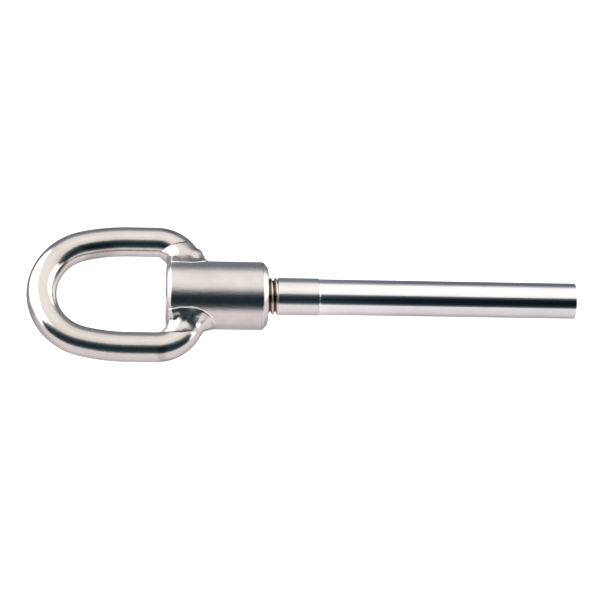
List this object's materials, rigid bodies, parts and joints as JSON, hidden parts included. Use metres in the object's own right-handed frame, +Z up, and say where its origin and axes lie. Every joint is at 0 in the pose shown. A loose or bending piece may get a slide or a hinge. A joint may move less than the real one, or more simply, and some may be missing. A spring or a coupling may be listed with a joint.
{
  "type": "swivelling bow end with wire-rope swage socket",
  "caption": "Closed D-shaped bow of round bar welded to a barrel that swivels on a left-hand threaded stud, turned in one piece with a collar and a long wire-rope socket",
  "frame": {"origin": "the middle of the mouth of the wire bore, on the axis of the terminal", "axes": "+X runs out of the wire bore, the way the wire leaves, with the bow at the -X end. The bow lies in the XY plane. +Z is up, square to the bow"},
  "size_m": [0.1172, 0.031, 0.0144],
  "materials": {
    "bright_steel": "mirror-bright turned stainless steel",
    "satin_steel": "satin-polished stainless steel, fine marks along the axis",
    "polished_bar": "polished stainless steel bar",
    "polished_weld": "ground and polished weld, slightly uneven, faint heat tint at its toes",
    "bronze": "plain machined bronze",
    "inner_steel": "machined stainless steel",
    "spring_steel": "dull spring stainless steel"
  },
  "bodies": {
    "terminal": {"swage_terminal": "bright_steel"},
    "washers": {"thrust_washer": "bronze", "back_washer": "inner_steel"},
    "nuts": {"swivel_nut": "inner_steel", "jam_nut": "inner_steel"},
    "eye": {"barrel": "satin_steel", "bow": "polished_bar", "weld_near": "polished_weld", "weld_far": "polished_weld", "snap_ring": "spring_steel"}
  },
  "joints": [
    {"name": "take_up", "type": "slide", "parent": "terminal", "child": "washers", "axis": [-1, 0, 0], "range_m": [-0.00159, 0.00317]},
    {"name": "nut_turn", "type": "hinge", "parent": "washers", "child": "nuts", "pos_m": [-0.073, 0, 0], "axis": [1, 0, 0], "range_deg": [-540, 1080]},
    {"name": "swivel", "type": "hinge", "parent": "washers", "child": "eye", "pos_m": [-0.07, 0, 0], "axis": [1, 0, 0], "continuous": true}
  ],
  "couplings": [
    {"joint": "nut_turn", "follows": "take_up", "rad_per_m": 5938.7}
  ]
}
